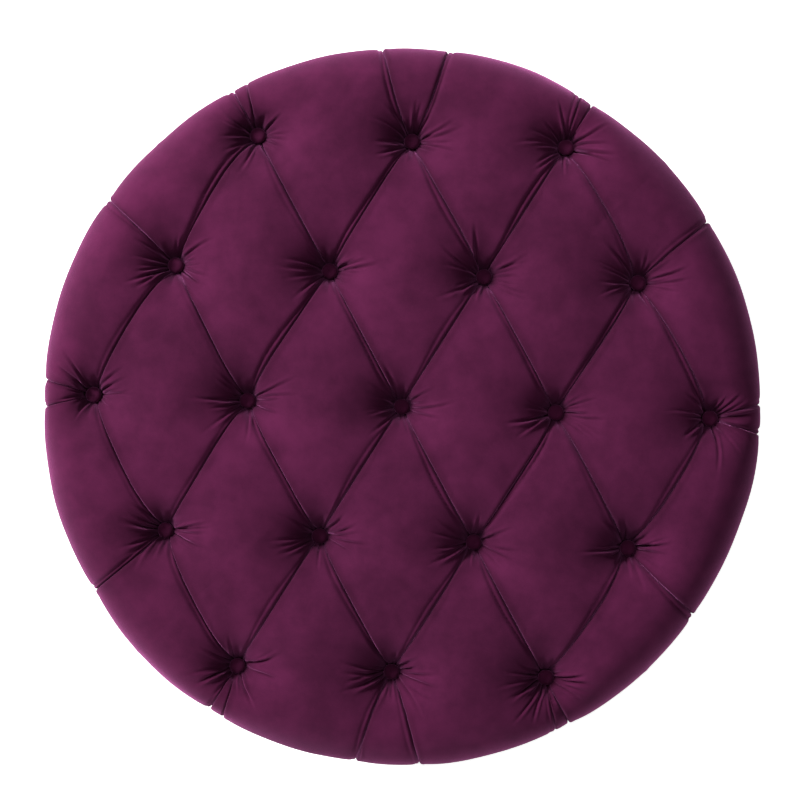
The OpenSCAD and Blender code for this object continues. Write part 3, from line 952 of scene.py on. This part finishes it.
def lid_foam(swelling):
    """The foam on the board: the cover's form without its fine folds, flat below."""
    inset = 18 * MM
    floor_z = box("lid_foam")[0][2]
    low_z = floor_z - 0.2 * MM
    a, b, quads = disc_grid(PAD_CELLS)
    top = under_cover(square_to_disc(a, b) * WALL_END, inset, swelling)
    top[:, 2] = np.maximum(top[:, 2], floor_z)
    edge = border(a, b)
    skirt = top[edge] * [1, 1, 0] + [0, 0, low_z]
    low = len(top) + np.arange(len(edge))
    low_after = np.roll(low, -1)
    middle = np.full(len(edge), len(top) + len(edge))
    walls = np.stack([edge, low, low_after, np.roll(edge, -1)], 1)
    fan = np.stack([middle, low_after, low], 1)
    points = np.concatenate([top, skirt, [[0, 0, low_z]]])
    obj = mesh_object("lid_foam_tufted", points, quads.tolist() + walls.tolist() + fan.tolist())
    dress(obj, "lid", "foam", ["lid_foam"])


def lid_wadding(swelling):
    """The wadding over the foam and round the board's edge."""
    inset, lap = 12 * MM, 8 * MM
    a, b, quads = disc_grid(PAD_CELLS)
    flat = square_to_disc(a, b) * (WALL_END + lap)
    obj = mesh_object("lid_wadding_layer", under_cover(flat, inset, swelling), quads)
    thicken(obj, 3.5 * MM)
    dress(obj, "lid", "wadding", ["lid_wadding"])


# -------------------------------- the other soft pieces

def button_mesh(seed):
    """A covered button: a domed cap with cloth gathered in small folds at its edge."""
    local = np.random.default_rng(seed)
    columns = 72
    high = button_hi[2] - button_lo[2]
    shape = np.array([
        [0.0, 0.02], [0.55, 0.02], [0.86, 0.03], [0.97, 0.12], [1.0, 0.26], [0.985, 0.42],
        [0.93, 0.60], [0.82, 0.76], [0.66, 0.88], [0.46, 0.96], [0.24, 0.99], [0.0, 1.0],
    ])
    phi = around(columns)
    fine, slow = (np.sin(turns * phi + local.uniform(0, 6)) for turns in (17, 5))
    folds = 0.35 * MM * fine * slow
    edge = np.exp(-((shape[:, 1:] - 0.25) / 0.22) ** 2)
    points = turned(shape * [BUTTON_R, high], columns, shape[:, :1] * edge * folds)
    return points, grid_faces(len(shape), columns, True)


def make_buttons():
    """The covered buttons, each leaning outwards a little and by chance."""
    for k, centre in enumerate(TUFTS):
        points, faces = button_mesh(k)
        lean = centre / LID_R * math.radians(5) + rng.normal(0, 0.03, 2)
        points[:, 2] -= points[:, 0] * lean[0] + points[:, 1] * lean[1]
        points += [centre[0], centre[1], SEAT_Z]
        obj = mesh_object(f"tuft_button_{k + 1:02d}", points, faces)
        dress(obj, "lid", "button_velvet", ["tuft_buttons"])


TOP_CORNER, BOTTOM_CORNER = 10 * MM, 6 * MM
TOP_TURN_R = 392 * MM            # the side velvet's edge on the top ring
TOP_FLAT = (400 * MM, 426 * MM)  # the part of the ring that it lies flat on
BOTTOM_TURN_R = 408 * MM         # its edge under the bottom ring
SEAMS = (math.radians(62), math.radians(118))


def drum_profile(inset):
    """(radius, height) of the side cover, from over the top ring to under the bottom one."""
    radius, low, high = side_hi[0] - inset, side_lo[2] + inset, side_hi[2] - inset
    top, bottom = TOP_CORNER - inset, BOTTOM_CORNER - inset
    wall = np.linspace(high - 16 * MM, low + 12 * MM, 60)
    return np.concatenate([
        [[TOP_TURN_R, high]],
        [[r, high] for r in np.linspace(*TOP_FLAT, 8)],
        arc(radius - top, high - top, top, 90, 0, 9),
        [[radius, z] for z in wall],
        arc(radius - bottom, low + bottom, bottom, 0, -90, 7),
        [[BOTTOM_TURN_R, low]],
    ])


def seam_groove(phi, radius, deep):
    """The groove of each upright seam, with its allowance raised beside it."""
    out = 0
    for where in SEAMS:
        off = np.abs(off_angle(phi, where)) * radius
        out = out - deep * np.exp(-off / (1.2 * MM))
        out = out + 0.5 * deep * np.exp(-((off - 4 * MM) / (2.6 * MM)) ** 2)
    return out


def side_cover():
    """Velvet stretched round the drum, turned over the top ring and under the bottom ring."""
    radius, low, high = side_hi[0], side_lo[2], side_hi[2]
    profile = drum_profile(0)
    columns = 1200
    phi = around(columns)
    share = np.clip((profile[:, 1] - low) / (high - low), 0, 1)[:, None]
    wall = smoothstep(405 * MM, 438 * MM, profile[:, 0])[:, None]
    barrel = 2.0 * MM * np.sin(math.pi * share)
    uneven = ripples(phi, share, ((3, 2, 0.5), (7, -3, 0.45), (11, 5, 0.3), (19, -7, 0.2)))
    pulled = 0
    pulls, turned_in = 46, 50 * MM
    for _ in range(pulls):
        where = rng.uniform(-math.pi, math.pi)
        wide = rng.uniform(5, 11) * MM / radius
        lean = rng.uniform(-0.03, 0.03)
        off = off_angle(phi, where + lean * share)
        edge = share if rng.random() < 0.5 else 1 - share
        size = rng.uniform(0.3, 0.8) * MM
        fall = rng.uniform(0.05, 0.16)
        pulled = pulled - size * np.exp(-((off / wide) ** 2)) * np.exp(-edge / fall)
    out = wall * (barrel + uneven + pulled + seam_groove(phi, radius, 1.5 * MM))
    faces = grid_faces(len(profile), columns, True)[:, ::-1]
    obj = mesh_object("side_cover_velvet", turned(profile, columns, out), faces)
    thicken(obj, VELVET_THICK)
    dress(obj, "base", "velvet", ["side_cover"])


def side_foam():
    """The foam between the hardboard drum and the velvet."""
    foam_lo, foam_hi = box("side_foam")
    inner, gap = 424 * MM, 4.5 * MM
    outer = drum_profile(gap)
    outer = outer[outer[:, 0] > inner + 1 * MM]
    low, high = foam_lo[2] + 3 * MM, foam_hi[2] - 3 * MM
    loop = np.concatenate([[[inner, low], [inner, high]], outer])
    columns = 360
    faces = loop_faces(len(loop), columns)[:, ::-1]
    obj = mesh_object("side_foam_sheet", turned(loop, columns), faces)
    dress(obj, "base", "foam", ["side_foam"])


def storage_liner():
    """Cloth-covered lining of the well, with a rolled binding along its top edge."""
    liner_lo, liner_hi = box("storage_liner")
    low, high, lip_r = liner_lo[2], liner_hi[2], liner_hi[0]
    roll, card, lip_thick = 2.0 * MM, 2.2 * MM, 1.4 * MM
    wall = np.linspace(low, high - 2 * roll, 30)
    loop = np.concatenate([
        [[WELL_R + card, low]],
        [[WELL_R, z] for z in wall],
        arc(WELL_R + roll, high - roll, roll, 180, 60, 8),
        [[WELL_R + 5 * MM, high], [lip_r - 0.6 * MM, high], [lip_r, high - 0.7 * MM]],
        [[lip_r, high - lip_thick], [WELL_R + card, high - lip_thick - roll]],
    ])
    columns = 720
    phi = around(columns)
    share = np.clip((loop[:, 1] - low) / (high - low), 0, 1)[:, None]
    inside = (loop[:, 0] < WELL_R + 1 * MM)[:, None] * np.sin(math.pi * share) ** 0.5
    uneven = ripples(phi, share, ((5, 4, 0.3), (13, 4, 0.25), (29, 4, 0.12)))
    out = inside * (uneven + seam_groove(phi, WELL_R, -1.2 * MM) + 0.4 * MM)
    faces = loop_faces(len(loop), columns)
    obj = mesh_object("storage_liner_cloth", turned(loop, columns, out), faces)
    dress(obj, "base", "lining_cloth", ["storage_liner"], WELL_CLOTH)


def rounded_edge(inwards, width):
    """A height of 1 that falls along a quarter circle to 0 over the last width before an edge."""
    return np.sqrt(1 - np.clip(1 - inwards / width, 0, 1) ** 2)


def lid_lining():
    """Lining cloth pulled over a thin card under the lid, cut away round the hinges."""
    lining_lo, lining_hi = box("lid_lining")
    radius, low, high = lining_hi[0], lining_lo[2], lining_hi[2]
    rings, columns = 60, 480
    phi = around(columns)
    notch_y, notch_half, hinge_x = 392 * MM, 32 * MM, 48 * MM
    reach = np.full(columns, radius)
    x = radius * np.cos(phi)
    behind = (np.sin(phi) > 0) & (np.abs(np.abs(x) - hinge_x) < notch_half)
    reach[behind] = notch_y / np.sin(phi[behind])
    share = np.linspace(0, 1, rings)[:, None] ** 0.8
    edge = rounded_edge(reach - share * reach, 3 * MM)
    slack_cloth = ripples(phi, share, ((3, 7, 0.12), (8, 7, 0.1), (17, 7, 0.08)))
    drop = (high - low) * 0.9 * edge + slack_cloth * edge * smoothstep(0, 0.3, share)
    under = np.stack([share * reach * np.cos(phi), share * reach * np.sin(phi), high - drop], -1)
    upper = under.copy()
    upper[..., 2] = high
    faces = grid_faces(rings, columns, True)
    count = rings * columns
    edge = count - columns + np.arange(columns)
    after = np.roll(edge, -1)
    rim = np.stack([edge, after, count + after, count + edge], 1)
    points = np.concatenate([under.reshape(-1, 3), upper.reshape(-1, 3)])
    faces = np.concatenate([faces[:, ::-1], faces + count, rim[:, ::-1]])
    obj = mesh_object("lid_lining_cloth", points, faces)
    dress(obj, "lid", "lining_cloth", ["lid_lining"])


def dust_cover():
    """Black cloth stretched under the frame, folded under at its edge and puckered by staples."""
    dust_lo, dust_hi = box("dust_cover")
    radius, low, high = dust_hi[0], dust_lo[2], dust_hi[2]
    rings, columns = 70, 720
    staples, staple_r = 36, 412 * MM
    phi = around(columns)
    share = np.linspace(0, 1, rings)[:, None]
    r = share * radius
    pucker = 0.3 * MM * np.cos(staples * phi) * np.exp(-((r - staple_r) / (22 * MM)) ** 2)
    fold = 0.35 * MM * smoothstep(398 * MM, 400 * MM, r)
    z = high - 0.45 * MM + pucker * 0.5 - fold + 0.1 * MM * np.sin(5 * phi + 20 * share)
    z = np.clip(z, low, high - 0.2 * MM)
    points = np.stack([r * np.cos(phi), r * np.sin(phi), z + 0 * phi], -1).reshape(-1, 3)
    faces = grid_faces(rings, columns, True)[:, ::-1]
    obj = mesh_object("dust_cover_cloth", points, faces)
    thicken(obj, 0.3 * MM)
    dress(obj, "base", "dust_cloth", ["dust_cover"])


def storage_mat():
    """A thin mat on the floor of the well, quilted in squares and rounded at its edge."""
    mat_lo, mat_hi = box("storage_mat")
    radius, low, high = mat_hi[0] - 1 * MM, mat_lo[2], mat_hi[2]
    spacing, line_width = 90 * MM, 9 * MM
    diagonal = 0.7071
    a, b, quads = disc_grid(PAD_CELLS)
    flat = square_to_disc(a, b) * radius
    edge = rounded_edge(radius - np.linalg.norm(flat, axis=1), 6 * MM)
    quilt = np.zeros(len(flat))
    for axis in (flat @ [diagonal, diagonal], flat @ [diagonal, -diagonal]):
        off = np.abs((axis / spacing + 0.5) % 1 - 0.5) * spacing
        quilt = np.maximum(quilt, np.exp(-off / line_width))
    tall = (high - low) * (0.25 + 0.75 * edge) * (1 - 0.7 * quilt)
    upper = np.column_stack([flat, low + tall])
    lower = np.column_stack([flat, np.full(len(flat), low)])
    count = len(flat)
    edge = border(a, b)
    after = np.roll(edge, -1)
    rim = np.stack([after, edge, edge + count, after + count], 1)
    faces = np.concatenate([quads, quads[:, ::-1] + count, rim])
    obj = mesh_object("storage_mat_quilted", np.concatenate([upper, lower]), faces)
    dress(obj, "base", "mat_cloth", ["storage_mat"])


# -------------------------------- floor, lights and camera

def stage():
    """A pale floor that is seen as white out to the horizon, but lights the ottoman little."""
    bpy.ops.mesh.primitive_plane_add(size=60, location=(0, 0, -0.0005))
    floor = bpy.context.object
    floor.name = "floor"
    n = Nodes("pale_floor")
    tone = n.noise(3, 2)
    away = n.add("ShaderNodeVectorMath", {0: n.coords}, operation="LENGTH").outputs["Value"]
    glow = n.add("ShaderNodeMapRange", {0: away, 1: 1.2, 2: 4.0, 3: 0.80, 4: 1.0}).outputs[0]
    seen = n.add("ShaderNodeLightPath").outputs["Is Camera Ray"]
    n.set(
        Base_Color=n.ramp(tone, [(0.3, (0.90, 0.90, 0.90)), (0.7, (0.93, 0.93, 0.93))]),
        Roughness=0.9,
        Emission_Color=(1, 1, 1, 1),
        Emission_Strength=n.math("MULTIPLY", glow, n.span(seen, 0.22, 1.0)),
    )
    floor.data.materials.append(n.material)


def area_light(name, place, size, power):
    """A round white light that is aimed at the ottoman's upper half."""
    data = bpy.data.lights.new(name, "AREA")
    data.shape = "DISK"
    data.size = size
    data.energy = power
    obj = bpy.data.objects.new(name, data)
    obj.location = place
    aim = Vector((0, 0, 0.35)) - Vector(place)
    obj.rotation_mode = "QUATERNION"
    obj.rotation_quaternion = aim.to_track_quat("-Z", "Y")
    bpy.context.scene.collection.objects.link(obj)


def lights():
    """Five soft lights, and a world that is seen as white but lights the ottoman little."""
    area_light("key_left", (-3.8, 2.15, 2.87), 1.2, 358)
    area_light("back", (-1.3, 3.2, 1.1), 2.0, 46)
    area_light("fill_right", (3.2, -1.0, 1.0), 2.4, 6)
    area_light("front", (-1.0, -3.3, 0.9), 2.4, 62)
    area_light("top", (-0.6, 1.2, 3.4), 2.4, 22)
    world = bpy.data.worlds.new("studio")
    world.use_nodes = True
    nodes, links = world.node_tree.nodes, world.node_tree.links
    mix = nodes.new("ShaderNodeMixShader")
    lighting, seen = nodes["Background"], nodes.new("ShaderNodeBackground")
    for socket, background, strength in ((1, lighting, 0.11), (2, seen, 1.0)):
        background.inputs["Color"].default_value = (1, 1, 1, 1)
        background.inputs["Strength"].default_value = strength
        links.new(background.outputs[0], mix.inputs[socket])
    links.new(nodes.new("ShaderNodeLightPath").outputs["Is Camera Ray"], mix.inputs[0])
    links.new(mix.outputs[0], nodes["World Output"].inputs[0])
    bpy.context.scene.world = world
    bpy.context.scene.view_settings.view_transform = "Standard"


def camera():
    """Straight above the ottoman, turned a little about its own axis."""
    data = bpy.data.cameras.new("camera")
    data.lens = 85
    data.sensor_width = 36
    obj = bpy.data.objects.new("camera", data)
    obj.location = (-0.0025, 0.0083, 2.755)
    obj.rotation_euler = (0, 0, math.radians(2.2))
    bpy.context.scene.collection.objects.link(obj)
    bpy.context.scene.camera = obj


# -------------------------------- making it

paint_cad()
camera()
lights()
stage()
swelling = puffed()
lid_cover(swelling)
lid_foam(swelling)
lid_wadding(swelling)
make_buttons()
side_cover()
side_foam()
storage_mat()
storage_liner()
lid_lining()
dust_cover()
